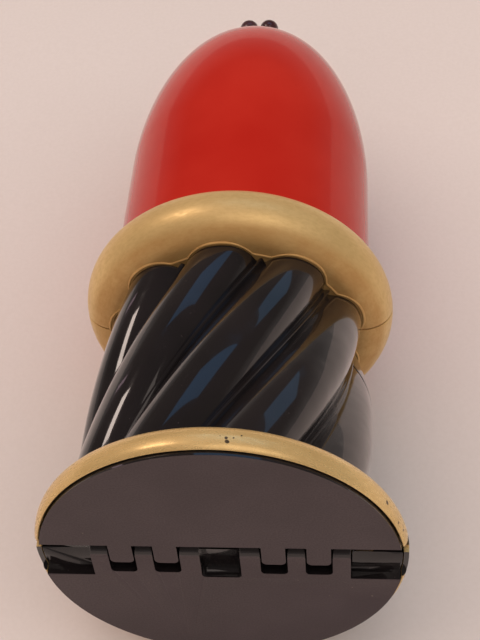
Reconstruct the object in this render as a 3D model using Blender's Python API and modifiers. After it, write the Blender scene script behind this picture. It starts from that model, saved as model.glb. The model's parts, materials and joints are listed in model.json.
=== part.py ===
"""A clamshell case in the shape of a lipstick, lying closed on its back.

Two half shells meet on a plane along the case's length. Knuckles in the base plates turn on two hidden pins,
so the front half opens like a lid, and a kiss-lock clasp at the tip holds it shut. The shapes are made
standing up: +Z from base to tip, the back half towards +Y. An empty then lays the case down, so that it
rests on its rim and its collar, with the tip towards +Y and the front half on top.
"""

from math import asin, atan2, cos, pi, sin

import bmesh
import bpy
from mathutils import Vector

MM = 0.001
TURN_STEPS = 46  # twice an odd number, so that a flat of each turned shape faces down
GAP = 0.3 * MM  # between touching pieces

# The parting plane between the halves lies a little in front of the axis.
PARTING_Y = -2.1 * MM
PARTING_GAP = 0.4 * MM

# Base rim and base plate
RIM_RADIUS = 48.7 * MM
RIM_HEIGHT = 9.4 * MM
RIM_SHOULDER = 5.0 * MM  # radius of the rounded upper edge
RIM_FOOT_RADIUS = 47.8 * MM
RIM_FOOT_HEIGHT = 1.1 * MM  # the base plate's edge shows below the rim's foot
PLATE_RADIUS = 46.9 * MM
PLATE_THICKNESS = 6.4 * MM
SPIGOT_HEIGHT = 12.6 * MM
BORE_RADIUS = 30.0 * MM  # the hollow through rim, body and collar

# Fluted body
FLUTE_COUNT = 9
FLUTE_DEPTH = 4.8 * MM
FLUTE_TWIST = 62.6 * pi / 180
FLUTE_START = -57.6 * pi / 180  # azimuth of one valley at the foot of the body
BODY_FOOT_RADIUS = 42.3 * MM
BODY_TOP_RADIUS = 37.6 * MM
FLUTE_STEPS = 8
BODY_SECTIONS = 12

# Collar
COLLAR_Z = 88.2 * MM
COLLAR_RING_RADIUS = 37.0 * MM
COLLAR_TUBE = 9.3 * MM
COLLAR_TOP = 9.0 * MM  # its flat seat for the dome, above the collar's middle
COLLAR_STEPS = 14

# Dome
DOME_RADIUS = 39.1 * MM
DOME_WALL = 5.0 * MM
DOME_CURVE_Z = 144.3 * MM
DOME_TIP_Z = 214.4 * MM
DOME_CAVITY_TIP_Z = 203.5 * MM
DOME_RISE_POWER = 1.9
DOME_ROUND_POWER = 2.35
DOME_STEPS = 11

# Lining
LINING_THICKNESS = 1.0 * MM
LINING_END_RADIUS = 14.0 * MM
LINING_STEPS = 6

# Hinge in the base
KNUCKLE_RADIUS = 4.6 * MM  # half a finger's thickness, and the pin's height above the base
BACK_NOSE_RADIUS = 4.78 * MM
FRONT_NOSE_RADIUS = 5.17 * MM
PIN_RADIUS = 1.1 * MM
PIN_BORE_RADIUS = 1.4 * MM
PIN_ENDS = (6.2 * MM, 31.9 * MM)
FRONT_SETBACK = 5.4 * MM  # from the pin to the edge of the front plate
NOTCH_DEPTH = 6.9 * MM  # from the pin to the bottom of the back plate's notches
CENTRE_NOTCH_DEPTH = 9.0 * MM
CENTRE_NOTCH_HALF_WIDTH = 5.2 * MM
HINGE_HALF_WIDTH = 34.0 * MM
HINGE_ROOM = 10.0 * MM  # height that the knuckles need
REBATE_DEPTH = 8.6 * MM
FRONT_REBATE_HEIGHT = 4.9 * MM  # clears the pin's height, so that the front half can turn
BACK_REBATE_HEIGHT = 3.0 * MM
FINGER_ROOT = 8.9 * MM  # how far past the pin a finger runs into its plate
BACK_FINGERS = ((5.2 * MM, 10.4 * MM), (17.4 * MM, 22.0 * MM), (29.0 * MM, 33.6 * MM))
FRONT_FINGERS = ((10.8 * MM, 17.0 * MM), (22.4 * MM, 28.6 * MM))

# Kiss-lock clasp
CLASP_SEAT_Z = 206.5 * MM
CLASP_MIDDLE_X = -0.7 * MM
BALL_RADIUS = 3.45 * MM
BALL_OFFSET = 3.7 * MM
BALL_Z = 230.7 * MM
STEM_FOOT_RADIUS = 1.9 * MM
STEM_END_RADIUS = 1.2 * MM
STEM_SETBACK = 2.5 * MM
TAB_SIZE = Vector((18.0, 9.0, 1.2)) * MM
SCREW_OFFSET = 6.2 * MM
SCREW_SETBACK = 6.4 * MM
SCREW_RADIUS = 0.8 * MM
SCREW_HEAD_RADIUS = 1.6 * MM
SCREW_LENGTH = 5.6 * MM

FAR = 300 * MM


def clear_scene():
    for obj in list(bpy.data.objects):
        bpy.data.objects.remove(obj)


def new_collection(name):
    collection = bpy.data.collections.new(name)
    bpy.context.scene.collection.children.link(collection)
    return collection


def new_material(name, colour, roughness, metallic=0.0):
    material = bpy.data.materials.new(name)
    material.use_nodes = True
    shader = material.node_tree.nodes["Principled BSDF"]
    shader.inputs["Base Color"].default_value = (*colour, 1)
    shader.inputs["Roughness"].default_value = roughness
    shader.inputs["Metallic"].default_value = metallic
    return material


clear_scene()
CASE = new_collection("lipstick_case")
CUTTERS = new_collection("cutters")
RED = new_material("red_lacquer", (0.50, 0.022, 0.013), 0.16)
GOLD = new_material("gold_leaf", (0.46, 0.26, 0.10), 0.36, 0.85)
BLACK = new_material("black_lacquer", (0.008, 0.007, 0.008), 0.08)
MATTE = new_material("matte_base", (0.07, 0.05, 0.05), 0.75)
STEEL = new_material("pin_steel", (0.55, 0.55, 0.56), 0.3, 1.0)
BRASS = new_material("stem_brass", (0.55, 0.38, 0.16), 0.3, 1.0)
BEAD = new_material("dark_bead", (0.045, 0.014, 0.012), 0.25)
SATIN = new_material("lining_satin", (0.36, 0.24, 0.15), 0.6)


def new_empty(name, parent=None, location=(0, 0, 0)):
    empty = bpy.data.objects.new(name, None)
    empty.empty_display_size = 20 * MM
    empty.parent = parent
    empty.location = location
    bpy.context.scene.collection.objects.link(empty)
    return empty


LYING_FRAME = new_empty("lying_frame")
HINGE_AXIS = new_empty("hinge_axis", LYING_FRAME, (0, PARTING_Y, KNUCKLE_RADIUS))


def object_from(bm, name, collection, parent, material=None):
    """A mesh object whose shape stays in the standing frame, whichever empty carries it."""
    mesh = bpy.data.meshes.new(name)
    bm.to_mesh(mesh)
    bm.free()
    obj = bpy.data.objects.new(name, mesh)
    collection.objects.link(obj)
    obj.parent = parent
    if parent == HINGE_AXIS:
        obj.location = -HINGE_AXIS.location
    if material:
        mesh.materials.append(material)
        mesh.shade_smooth()
        mesh.set_sharp_from_angle(angle=pi / 5)
    return obj


def new_cutter(bm, name):
    cutter = object_from(bm, name, CUTTERS, LYING_FRAME)
    cutter.hide_render = True
    cutter.display_type = "WIRE"
    return cutter


def box_cutter(name, low, high):
    bm = bmesh.new()
    bmesh.ops.create_cube(bm, size=1)
    low, high = Vector(low), Vector(high)
    bmesh.ops.scale(bm, vec=high - low, verts=bm.verts)
    bmesh.ops.translate(bm, vec=(low + high) / 2, verts=bm.verts)
    return new_cutter(bm, name)


def cylinder(radius, start, end, segments=16):
    """A capped cylinder between two points on a line along X or Z."""
    bm = bmesh.new()
    start, end = Vector(start), Vector(end)
    run = end - start
    bmesh.ops.create_cone(
        bm, cap_ends=True, segments=segments, radius1=radius, radius2=radius, depth=run.length
    )
    turn = Vector((0, 0, 1)).rotation_difference(run.normalized()).to_matrix()
    bmesh.ops.rotate(bm, matrix=turn, verts=bm.verts)
    bmesh.ops.translate(bm, vec=(start + end) / 2, verts=bm.verts)
    return bm


def boolean(obj, tool, operation="DIFFERENCE"):
    modifier = obj.modifiers.new(tool.name, "BOOLEAN")
    modifier.object = tool
    modifier.operation = operation
    modifier.solver = "EXACT"


def arc(centre, radius, start, end, steps):
    """Points on a circle about centre in the (radius, height) plane, from one angle to another."""
    angles = [start + (end - start) * i / steps for i in range(steps + 1)]
    return [(centre[0] + radius * cos(a), centre[1] + radius * sin(a)) for a in angles]


def turned(name, profile, material, parent, closed):
    """A full turn of a profile of (radius, height) points, which runs down the outer side."""
    bm = bmesh.new()
    verts = [bm.verts.new((radius, 0, height)) for radius, height in profile]
    for first, second in zip(verts, verts[1:]):
        bm.edges.new((first, second))
    if closed:
        bm.edges.new((verts[-1], verts[0]))
    obj = object_from(bm, name, CASE, parent, material)
    screw = obj.modifiers.new("turn", "SCREW")
    screw.angle = 2 * pi
    screw.steps = TURN_STEPS
    screw.render_steps = TURN_STEPS
    screw.use_merge_vertices = True
    screw.merge_threshold = 0.00001
    screw.use_smooth_shade = True
    return obj


def dome_curve(radius, start_z, tip_z, steps=DOME_STEPS, end_radius=0.0):
    """The rounded end of the dome, from its tip or end_radius outwards and down to start_z."""
    points = []
    for i in range(steps + 1):
        across = end_radius + (radius - end_radius) * sin(pi / 2 * i / steps)
        rise = max(0.0, 1 - (across / radius) ** DOME_ROUND_POWER) ** (1 / DOME_RISE_POWER)
        points.append((across, start_z + (tip_z - start_z) * rise))
    return points


def dome_profile():
    foot = COLLAR_Z + COLLAR_TOP + GAP
    inner_radius = DOME_RADIUS - DOME_WALL
    outside = dome_curve(DOME_RADIUS, DOME_CURVE_Z, DOME_TIP_Z)
    inside = dome_curve(inner_radius, DOME_CURVE_Z, DOME_CAVITY_TIP_Z)
    return outside + [(DOME_RADIUS, foot), (inner_radius, foot)] + inside[::-1]


def collar_profile():
    """A thick ring, flat where the dome stands on it and flat underneath inside its lowest line."""
    top_angle = atan2(COLLAR_TOP, (COLLAR_TUBE**2 - COLLAR_TOP**2) ** 0.5)
    middle = (COLLAR_RING_RADIUS, COLLAR_Z)
    upper = arc(middle, COLLAR_TUBE, top_angle, 0, COLLAR_STEPS // 2)
    lower = arc(middle, COLLAR_TUBE, 0, -pi / 2, COLLAR_STEPS // 2)
    foot = (BORE_RADIUS, COLLAR_Z - COLLAR_TUBE)
    return upper + lower[1:] + [foot, (BORE_RADIUS, COLLAR_Z + COLLAR_TOP)]


def rim_profile():
    shoulder = arc(
        (RIM_RADIUS - RIM_SHOULDER, RIM_HEIGHT - RIM_SHOULDER), RIM_SHOULDER, pi / 2, 0, 6
    )
    inner = PLATE_RADIUS + GAP
    flange = PLATE_THICKNESS + GAP
    low = RIM_FOOT_HEIGHT
    foot = [(RIM_RADIUS - 0.2 * MM, low + 1.2 * MM), (RIM_FOOT_RADIUS, low), (inner, low)]
    return shoulder + foot + [(inner, flange), (BORE_RADIUS, flange), (BORE_RADIUS, RIM_HEIGHT)]


def plate_profile():
    spigot = BORE_RADIUS - GAP
    edge = 0.4 * MM
    return [
        (0, SPIGOT_HEIGHT),
        (spigot, SPIGOT_HEIGHT),
        (spigot, PLATE_THICKNESS),
        (PLATE_RADIUS, PLATE_THICKNESS),
        (PLATE_RADIUS, edge),
        (PLATE_RADIUS - edge, 0),
        (0, 0),
    ]


def lining_profile():
    """A bag that is closed at the base end and stops short of the clasp at the tip."""
    floor = SPIGOT_HEIGHT + GAP
    step_z = COLLAR_Z + COLLAR_TOP + 3 * GAP
    outer = BORE_RADIUS - GAP
    wide = DOME_RADIUS - DOME_WALL - GAP
    tip = DOME_CAVITY_TIP_Z - GAP
    thin = LINING_THICKNESS

    def side(inset):
        curve = dome_curve(wide - inset, DOME_CURVE_Z, tip - inset, LINING_STEPS, LINING_END_RADIUS)
        step = [(wide - inset, step_z + 2 * thin), (outer - inset, step_z)]
        return curve + step

    outside = side(0) + [(outer, floor), (0, floor)]
    inside = side(thin) + [(outer - thin, floor + thin), (0, floor + thin)]
    return inside[::-1] + outside


def flute_radius(azimuth, along):
    """The fluted outline: convex lobes between sharp valleys, turning and narrowing on the way up."""
    pitch = 2 * pi / FLUTE_COUNT
    place = (azimuth - FLUTE_START - FLUTE_TWIST * along) / pitch % 1
    crown = BODY_FOOT_RADIUS + (BODY_TOP_RADIUS - BODY_FOOT_RADIUS) * along
    return crown - FLUTE_DEPTH * abs(2 * place - 1) ** 2.4


def fluted_body(name, parent):
    """A loft through turned copies of the fluted outline, with the case's bore through it."""
    foot = RIM_HEIGHT + GAP
    top = COLLAR_Z - COLLAR_TUBE - GAP
    around = FLUTE_COUNT * FLUTE_STEPS
    bm = bmesh.new()
    rings = []
    for section in range(BODY_SECTIONS + 1):
        along = section / BODY_SECTIONS
        ring = []
        for i in range(around):
            azimuth = 2 * pi * i / around + FLUTE_START + FLUTE_TWIST * along
            radius = flute_radius(azimuth, along)
            height = foot + (top - foot) * along
            ring.append(bm.verts.new((radius * cos(azimuth), radius * sin(azimuth), height)))
        rings.append(ring)
    for lower, upper in zip(rings, rings[1:]):
        for i in range(around):
            j = (i + 1) % around
            bm.faces.new((lower[i], lower[j], upper[j], upper[i]))
    bm.faces.new(rings[0][::-1])
    bm.faces.new(rings[-1])
    body = object_from(bm, name, CASE, parent, BLACK)
    boolean(body, BODY_BORE)
    return body


def finger_tool(name, sides, root, nose_radius):
    """A hinge finger across X: a nose round the pin, carried back to its root in the plate."""
    axis_y, axis_z = HINGE_AXIS.location.yz
    away = 1 if root > 0 else -1
    reach = asin(KNUCKLE_RADIUS / nose_radius)
    nose = [(axis_y - away * y, axis_z + z) for y, z in arc((0, 0), nose_radius, -reach, reach, 12)]
    outline = nose + [(axis_y + root, 2 * axis_z), (axis_y + root, 0)]
    bm = bmesh.new()
    face = bm.faces.new([bm.verts.new((sides[0], y, z)) for y, z in outline])
    extruded = bmesh.ops.extrude_face_region(bm, geom=[face])
    moved = [item for item in extruded["geom"] if isinstance(item, bmesh.types.BMVert)]
    bmesh.ops.translate(bm, vec=(sides[1] - sides[0], 0, 0), verts=moved)
    bmesh.ops.recalc_face_normals(bm, faces=bm.faces)
    return new_cutter(bm, name)


def both_sides(sides):
    return (sides, (-sides[1], -sides[0]))


BACK_SIDE = box_cutter("back_side", (-FAR, PARTING_Y - PARTING_GAP / 2, -FAR), (FAR, FAR, FAR))
FRONT_SIDE = box_cutter("front_side", (-FAR, -FAR, -FAR), (FAR, PARTING_Y + PARTING_GAP / 2, FAR))
BODY_BORE = new_cutter(cylinder(BORE_RADIUS, (0, 0, -FAR), (0, 0, FAR), TURN_STEPS), "body_bore")
PIN_BORES = [
    new_cutter(
        cylinder(
            PIN_BORE_RADIUS,
            (side * (PIN_ENDS[0] - GAP), *HINGE_AXIS.location.yz),
            (side * (PIN_ENDS[1] + GAP), *HINGE_AXIS.location.yz),
        ),
        f"pin_bore_{word}",
    )
    for word, side in (("left", -1), ("right", 1))
]


def hinge_rooms():
    """What is cut from the plates and rims at the hinge: (front cutters, back cutters)."""
    y, shallow = PARTING_Y, BACK_REBATE_HEIGHT
    centre, inner = CENTRE_NOTCH_HALF_WIDTH, BACK_FINGERS[-1][1]
    low, high = (-FAR, y - FRONT_SETBACK, -MM), (FAR, y + MM, FRONT_REBATE_HEIGHT)
    front = [box_cutter("front_rebate", low, high)]
    back = [
        box_cutter("centre_notch", (-centre, y - MM, -MM), (centre, y + CENTRE_NOTCH_DEPTH, shallow))
    ]
    for word, side in (("right", 1), ("left", -1)):
        ends = sorted((side * (centre - GAP), side * HINGE_HALF_WIDTH))
        low, high = (ends[0], y - FRONT_SETBACK, -MM), (ends[1], y + MM, HINGE_ROOM)
        front.append(box_cutter(f"front_hinge_room_{word}", low, high))
        ends = sorted((side * (centre + MM), side * HINGE_HALF_WIDTH))
        low, high = (ends[0], y - MM, -MM), (ends[1], y + NOTCH_DEPTH, HINGE_ROOM)
        back.append(box_cutter(f"back_hinge_room_{word}", low, high))
        ends = sorted((side * inner, side * FAR))
        low, high = (ends[0], y - MM, -MM), (ends[1], y + REBATE_DEPTH, shallow)
        back.append(box_cutter(f"back_rebate_{word}", low, high))
    return front, back


FRONT_ROOMS, BACK_ROOMS = hinge_rooms()
FLANGE_ROOM = box_cutter(
    "flange_room",
    (-HINGE_HALF_WIDTH, PARTING_Y - FINGER_ROOT - GAP, PLATE_THICKNESS),
    (HINGE_HALF_WIDTH, PARTING_Y + FINGER_ROOT + GAP, HINGE_ROOM),
)


def tip_cutters(half, side, ball_x):
    """The flat seat for the clasp's tab, the slot for its stem and the holes for its two screws."""
    seat = box_cutter(
        f"{half}_clasp_seat",
        (-11 * MM, PARTING_Y - 11 * MM, CLASP_SEAT_Z - 12 * MM),
        (11 * MM, PARTING_Y + 11 * MM, CLASP_SEAT_Z),
    )
    room = STEM_FOOT_RADIUS + 1.3 * GAP
    far = PARTING_Y + side * (STEM_SETBACK + room)
    near = PARTING_Y - side * MM
    slot = box_cutter(
        f"{half}_stem_slot",
        (ball_x - room, min(far, near), CLASP_SEAT_Z - MM),
        (ball_x + room, max(far, near), FAR),
    )
    holes = []
    for word, x in screw_places():
        place = Vector((x, PARTING_Y + side * SCREW_SETBACK, CLASP_SEAT_Z - MM))
        end = place + Vector((0, 0, SCREW_LENGTH))
        bm = cylinder(SCREW_RADIUS + GAP, place, end, 12)
        holes.append(new_cutter(bm, f"{half}_screw_hole_{word}"))
    return [seat, slot] + holes


def screw_places():
    return (("left", CLASP_MIDDLE_X - SCREW_OFFSET), ("right", CLASP_MIDDLE_X + SCREW_OFFSET))


def mesh_of_curve(curve_object, name):
    """The curve's solid as a cutter object, with its caps welded on."""
    graph = bpy.context.evaluated_depsgraph_get()
    mesh = bpy.data.meshes.new_from_object(curve_object.evaluated_get(graph))
    bm = bmesh.new()
    bm.from_mesh(mesh)
    bmesh.ops.remove_doubles(bm, verts=bm.verts, dist=0.00001)
    bmesh.ops.recalc_face_normals(bm, faces=bm.faces)
    bpy.data.objects.remove(curve_object)
    return new_cutter(bm, name)


def stem_tool(half, side, ball_x):
    """A tapered prong, from the tab up through the slot and over to the parting plane."""
    curve = bpy.data.curves.new(f"{half}_stem", "CURVE")
    curve.dimensions = "3D"
    curve.bevel_depth = STEM_FOOT_RADIUS
    curve.bevel_resolution = 3
    curve.use_fill_caps = True
    straight = PARTING_Y + side * STEM_SETBACK
    foot = CLASP_SEAT_Z - GAP - TAB_SIZE.z / 2
    bend, end = DOME_TIP_Z + 1.5 * MM, BALL_Z - BALL_RADIUS * 0.35
    steps = 6
    places = [(ball_x, straight, foot)]
    radii = [1]
    for i in range(steps + 1):
        ease = (1 - cos(pi * i / steps)) / 2
        y = straight + (PARTING_Y - straight) * ease
        places.append((ball_x, y, bend + (end - bend) * i / steps))
        radii.append(1 + (STEM_END_RADIUS / STEM_FOOT_RADIUS - 1) * i / steps)
    spline = curve.splines.new("POLY")
    spline.points.add(len(places) - 1)
    for point, place, radius in zip(spline.points, places, radii):
        point.co = (*place, 1)
        point.radius = radius
    obj = bpy.data.objects.new(curve.name, curve)
    bpy.context.scene.collection.objects.link(obj)
    return mesh_of_curve(obj, f"{half}_stem_wire")


def clasp(half, side, ball_x, parent):
    """The tab with its stem, the ball on the stem and the two screws through the tab."""
    top = CLASP_SEAT_Z - GAP
    near = PARTING_Y + side * PARTING_GAP / 2
    far = near + side * TAB_SIZE.y
    low = Vector((CLASP_MIDDLE_X - TAB_SIZE.x / 2, min(near, far), top - TAB_SIZE.z))
    high = Vector((CLASP_MIDDLE_X + TAB_SIZE.x / 2, max(near, far), top))
    bm = bmesh.new()
    bmesh.ops.create_cube(bm, size=1)
    bmesh.ops.scale(bm, vec=high - low, verts=bm.verts)
    bmesh.ops.translate(bm, vec=(low + high) / 2, verts=bm.verts)
    stem = object_from(bm, f"{half}_clasp_stem", CASE, parent, BRASS)
    boolean(stem, stem_tool(half, side, ball_x), "UNION")

    bm = bmesh.new()
    bmesh.ops.create_uvsphere(bm, u_segments=16, v_segments=10, radius=BALL_RADIUS)
    bmesh.ops.translate(bm, vec=(ball_x, PARTING_Y, BALL_Z), verts=bm.verts)
    ball = object_from(bm, f"{half}_clasp_ball", CASE, parent, BEAD)
    socket = cylinder(
        STEM_END_RADIUS + 2 * GAP,
        (ball_x, PARTING_Y, BALL_Z - 2 * BALL_RADIUS),
        (ball_x, PARTING_Y, BALL_Z),
    )
    boolean(ball, new_cutter(socket, f"{half}_ball_socket"))

    for word, x in screw_places():
        place = Vector((x, PARTING_Y + side * SCREW_SETBACK, top - TAB_SIZE.z - GAP))
        name = f"{half}_clasp_screw_{word}"
        start, end = place - Vector((0, 0, 0.5 * MM)), place + Vector((0, 0, SCREW_LENGTH))
        shank = new_cutter(cylinder(SCREW_RADIUS, start, end, 12), f"{name}_shank")
        bm = cylinder(SCREW_HEAD_RADIUS, place - Vector((0, 0, MM)), place)
        boolean(object_from(bm, name, CASE, parent, STEEL), shank, "UNION")
        start, end = place - Vector((0, 0, MM)), place + Vector((0, 0, 3 * MM))
        hole = cylinder(SCREW_RADIUS + GAP, start, end, 12)
        boolean(stem, new_cutter(hole, f"{name}_tab_hole"))


def half_shell(half, side, parent, rooms, fingers, nose_radius, ball_x):
    """All the pieces of one half. side is +1 for the back half and -1 for the front half."""
    other_side = FRONT_SIDE if side > 0 else BACK_SIDE
    dome = turned(f"{half}_dome", dome_profile(), RED, parent, closed=False)
    collar = turned(f"{half}_collar", collar_profile(), GOLD, parent, closed=True)
    body = fluted_body(f"{half}_fluted_body", parent)
    rim = turned(f"{half}_rim", rim_profile(), GOLD, parent, closed=True)
    plate = turned(f"{half}_base_plate", plate_profile(), MATTE, parent, closed=False)
    lining = turned(f"{half}_lining", lining_profile(), SATIN, parent, closed=False)
    for piece in (dome, collar, body, rim, plate, lining):
        boolean(piece, other_side)
    for cutter in tip_cutters(half, side, ball_x):
        boolean(dome, cutter)
    for cutter in rooms:
        boolean(rim, cutter)
        boolean(plate, cutter)
    boolean(rim, FLANGE_ROOM)
    root = side * FINGER_ROOT
    for number, sides in enumerate(fingers, 1):
        for word, placed in zip(("right", "left"), both_sides(sides)):
            tool = finger_tool(f"{half}_finger_{number}_{word}", placed, root, nose_radius)
            boolean(plate, tool, "UNION")
    for bore in PIN_BORES:
        boolean(plate, bore)
    clasp(half, side, ball_x, parent)


def hinge_pins():
    for word, side in (("left", -1), ("right", 1)):
        start = (side * PIN_ENDS[0], *HINGE_AXIS.location.yz)
        end = (side * PIN_ENDS[1], *HINGE_AXIS.location.yz)
        object_from(cylinder(PIN_RADIUS, start, end), f"hinge_pin_{word}", CASE, LYING_FRAME, STEEL)


def lay_down():
    """Lays the case on its rim and collar, with the origin under the middle of its box."""
    widest_z = RIM_HEIGHT - RIM_SHOULDER
    collar_radius = COLLAR_RING_RADIUS + COLLAR_TUBE
    slope = atan2(RIM_RADIUS - collar_radius, COLLAR_Z - widest_z)
    LYING_FRAME.rotation_euler.x = -pi / 2 - slope
    bpy.context.view_layer.update()
    graph = bpy.context.evaluated_depsgraph_get()
    corners = []
    for obj in CASE.objects:
        evaluated = obj.evaluated_get(graph)
        corners += [evaluated.matrix_world @ vert.co for vert in evaluated.data.vertices]
    low = [min(corner[i] for corner in corners) for i in range(3)]
    high = [max(corner[i] for corner in corners) for i in range(3)]
    LYING_FRAME.location = (-(low[0] + high[0]) / 2, -(low[1] + high[1]) / 2, -low[2])


BACK_BALL_X = CLASP_MIDDLE_X - BALL_OFFSET
FRONT_BALL_X = CLASP_MIDDLE_X + BALL_OFFSET
half_shell("back", 1, LYING_FRAME, BACK_ROOMS, BACK_FINGERS, BACK_NOSE_RADIUS, BACK_BALL_X)
half_shell("front", -1, HINGE_AXIS, FRONT_ROOMS, FRONT_FINGERS, FRONT_NOSE_RADIUS, FRONT_BALL_X)
hinge_pins()
lay_down()
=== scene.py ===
"""The look of a clamshell case in the shape of a lipstick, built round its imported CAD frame.

Every piece is made standing up, with +Z from base to tip and the back half towards +Y. One matrix,
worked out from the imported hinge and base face, then lays the pieces on the frame.
"""

import json
from math import asin, atan2, cos, pi, radians, sin, sqrt

import bmesh
import bpy
from mathutils import Matrix, Vector


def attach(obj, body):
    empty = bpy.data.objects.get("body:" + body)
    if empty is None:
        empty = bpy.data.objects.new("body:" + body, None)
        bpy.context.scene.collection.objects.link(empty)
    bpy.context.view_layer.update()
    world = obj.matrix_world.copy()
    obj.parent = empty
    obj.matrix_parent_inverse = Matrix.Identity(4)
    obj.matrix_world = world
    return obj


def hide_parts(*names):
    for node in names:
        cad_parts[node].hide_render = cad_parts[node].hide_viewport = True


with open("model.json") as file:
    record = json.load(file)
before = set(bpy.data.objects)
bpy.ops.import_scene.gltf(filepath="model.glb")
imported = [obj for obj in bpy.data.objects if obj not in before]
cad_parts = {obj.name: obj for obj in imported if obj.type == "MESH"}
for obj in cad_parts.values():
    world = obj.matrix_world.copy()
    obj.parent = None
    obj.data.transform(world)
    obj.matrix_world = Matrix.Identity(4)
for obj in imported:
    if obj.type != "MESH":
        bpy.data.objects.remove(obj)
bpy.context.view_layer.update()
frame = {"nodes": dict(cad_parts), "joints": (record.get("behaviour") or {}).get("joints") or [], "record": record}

MM = 0.001
AROUND = 288  # steps round a turned shape
PLANE_ROUNDS = 14  # rounds of moving a ring's point along it onto a plane
GAP = 0.3 * MM  # between neighbouring pieces
PAST = 1 * MM  # how far a cutting or joining tool runs past the surface it works on
FAR = 100 * MM  # past the case to either side
SIDE = {"back": 1, "front": -1}
BODY = {"back": "back_half", "front": "front_half"}

PARTING_Y = -2.1 * MM
PARTING_GAP = 0.4 * MM
SEAM_ROUNDING = 0.3 * MM

RIM_RADIUS = 48.58 * MM
RIM_HEIGHT = 9.4 * MM
RIM_SHOULDER = 5.0 * MM
PLATE_RADIUS = 46.9 * MM
PLATE_THICKNESS = 6.4 * MM
PLATE_STEPS = 144  # round a half disc
SPIGOT_HEIGHT = 12.6 * MM
RIM_FOOT_HEIGHT = 1.1 * MM  # the base plate's edge shows below the rim's foot
BORE_RADIUS = 30.0 * MM

FLUTE_COUNT = 9
FLUTE_TWIST = radians(62.6)
FLUTE_START = radians(-57.6)
GROOVE_DEPTH = 5.3 * MM  # on each side of the thin bead that runs along a valley
GROOVE_PLACE = 0.89  # share of the way from a lobe's crown to the middle of the valley
GROOVE_POWER = 2.4
VALLEY_BEAD = 1.4 * MM
BEAD_POWER = 1.5
BODY_AROUND = 576
BODY_SECTIONS = 100  # so that one section turns by one step round
SECTIONS_PER_BORE_RING = 10
BODY_FOOT_RADIUS = 42.3 * MM
BODY_TOP_RADIUS = 37.6 * MM

COLLAR_Z = 88.2 * MM
COLLAR_RING_RADIUS = 37.0 * MM
COLLAR_TUBE = 9.19 * MM
COLLAR_TOP = 9.0 * MM

LIP_RADIUS = 0.5 * MM
LIP_OFFSET = 0.62 * MM
LIP_RISE = 0.2 * MM  # of its middle above the collar's lowest point
LIP_STEPS = 10

DOME_RADIUS = 39.1 * MM
DOME_WALL = 5.0 * MM
DOME_CURVE_Z = 144.3 * MM
DOME_TIP_Z = 214.4 * MM
DOME_CAVITY_TIP_Z = 203.5 * MM
DOME_RISE_POWER = 1.9
DOME_ROUND_POWER = 2.35

LINING_THICKNESS = 1.0 * MM
LINING_END_RADIUS = 14.0 * MM

KNUCKLE_RADIUS = 4.6 * MM
NOSE_RADIUS = {"back": 4.78 * MM, "front": 5.17 * MM}
FRONT_SETBACK = 5.4 * MM
NOTCH_DEPTH = 6.9 * MM
CENTRE_NOTCH_DEPTH = 9.0 * MM
CENTRE_NOTCH_HALF_WIDTH = 5.2 * MM
HINGE_HALF_WIDTH = 34.0 * MM
HINGE_ROOM = 10.0 * MM
CENTRE_NOTCH_CORNER = 1.1 * MM
NOTCH_CORNER = 1.3 * MM
REBATE_DEPTH = 8.6 * MM
FRONT_REBATE_HEIGHT = 4.9 * MM
BACK_REBATE_HEIGHT = 3.0 * MM
FINGER_ROOT = 8.9 * MM
FINGER_CORNER = {"back": 0.5 * MM, "front": 1.4 * MM}
NOSE_STEPS = 24
CORNER_STEPS = 6
PIN_BORE_RADIUS = 1.4 * MM
PIN_ENDS = (6.2 * MM, 31.9 * MM)
FINGERS = {
    "back": ((5.2 * MM, 10.4 * MM), (17.4 * MM, 22.0 * MM), (29.0 * MM, 33.6 * MM)),
    "front": ((10.8 * MM, 17.0 * MM), (22.4 * MM, 28.6 * MM)),
}

CLASP_SEAT_Z = 206.5 * MM
CLASP_MIDDLE_X = -0.7 * MM
BALL_RADIUS = 3.42 * MM
BALL_OFFSET = 3.7 * MM
BALL_Z = 230.7 * MM
STEM_FOOT_RADIUS = 1.9 * MM
STEM_END_RADIUS = 1.2 * MM
STEM_SETBACK = 2.5 * MM
STEM_STEPS = 18
BEND_RISE = 1.5 * MM  # from the dome's tip to the start of the stem's bend
SEAT_HALF_WIDTH = 11 * MM
SEAT_DEPTH = 12 * MM
TAB_SIZE = Vector((18.0, 9.0, 1.2)) * MM
TAB_CORNER = 1.2 * MM
SCREW_OFFSET = 6.2 * MM
SCREW_SETBACK = 6.4 * MM
SCREW_HEAD_RADIUS = 1.6 * MM
SCREW_SHANK_RADIUS = 0.8 * MM
SCREW_HOLE_RADIUS = 1.1 * MM
SCREW_HOLE_DEPTH = 3.0 * MM  # through the tab
SCREW_SLOT_HALF_WIDTH = 0.22 * MM


def lying_frame():
    """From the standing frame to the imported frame, by the base face's normal and the hinge's place."""
    record = frame["record"]
    mount = next(m for m in record["mounts"] if m["name"] == "base_face")
    hinge = next(j for j in frame["joints"] if j["name"] == "lid_hinge")
    up = -Vector(mount["axis"]).normalized()
    right = Vector((1, 0, 0))
    back = up.cross(right)
    origin = Vector(hinge["pos_m"]) - back * PARTING_Y - up * KNUCKLE_RADIUS
    matrix = Matrix((right, back, up)).transposed().to_4x4()
    matrix.translation = origin
    return matrix


LYING = lying_frame()
SEAM_Y = {half: PARTING_Y + side * PARTING_GAP / 2 for half, side in SIDE.items()}


# ---------------------------------------------------------------- mesh helpers


def arc(centre, radius, start, end, steps):
    angles = [start + (end - start) * i / steps for i in range(steps + 1)]
    return [(centre[0] + radius * cos(a), centre[1] + radius * sin(a)) for a in angles]


def straight(start, end, steps):
    """Points from start to end, without the first."""
    shares = [i / steps for i in range(1, steps + 1)]
    return [tuple(a + (b - a) * share for a, b in zip(start, end)) for share in shares]


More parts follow.
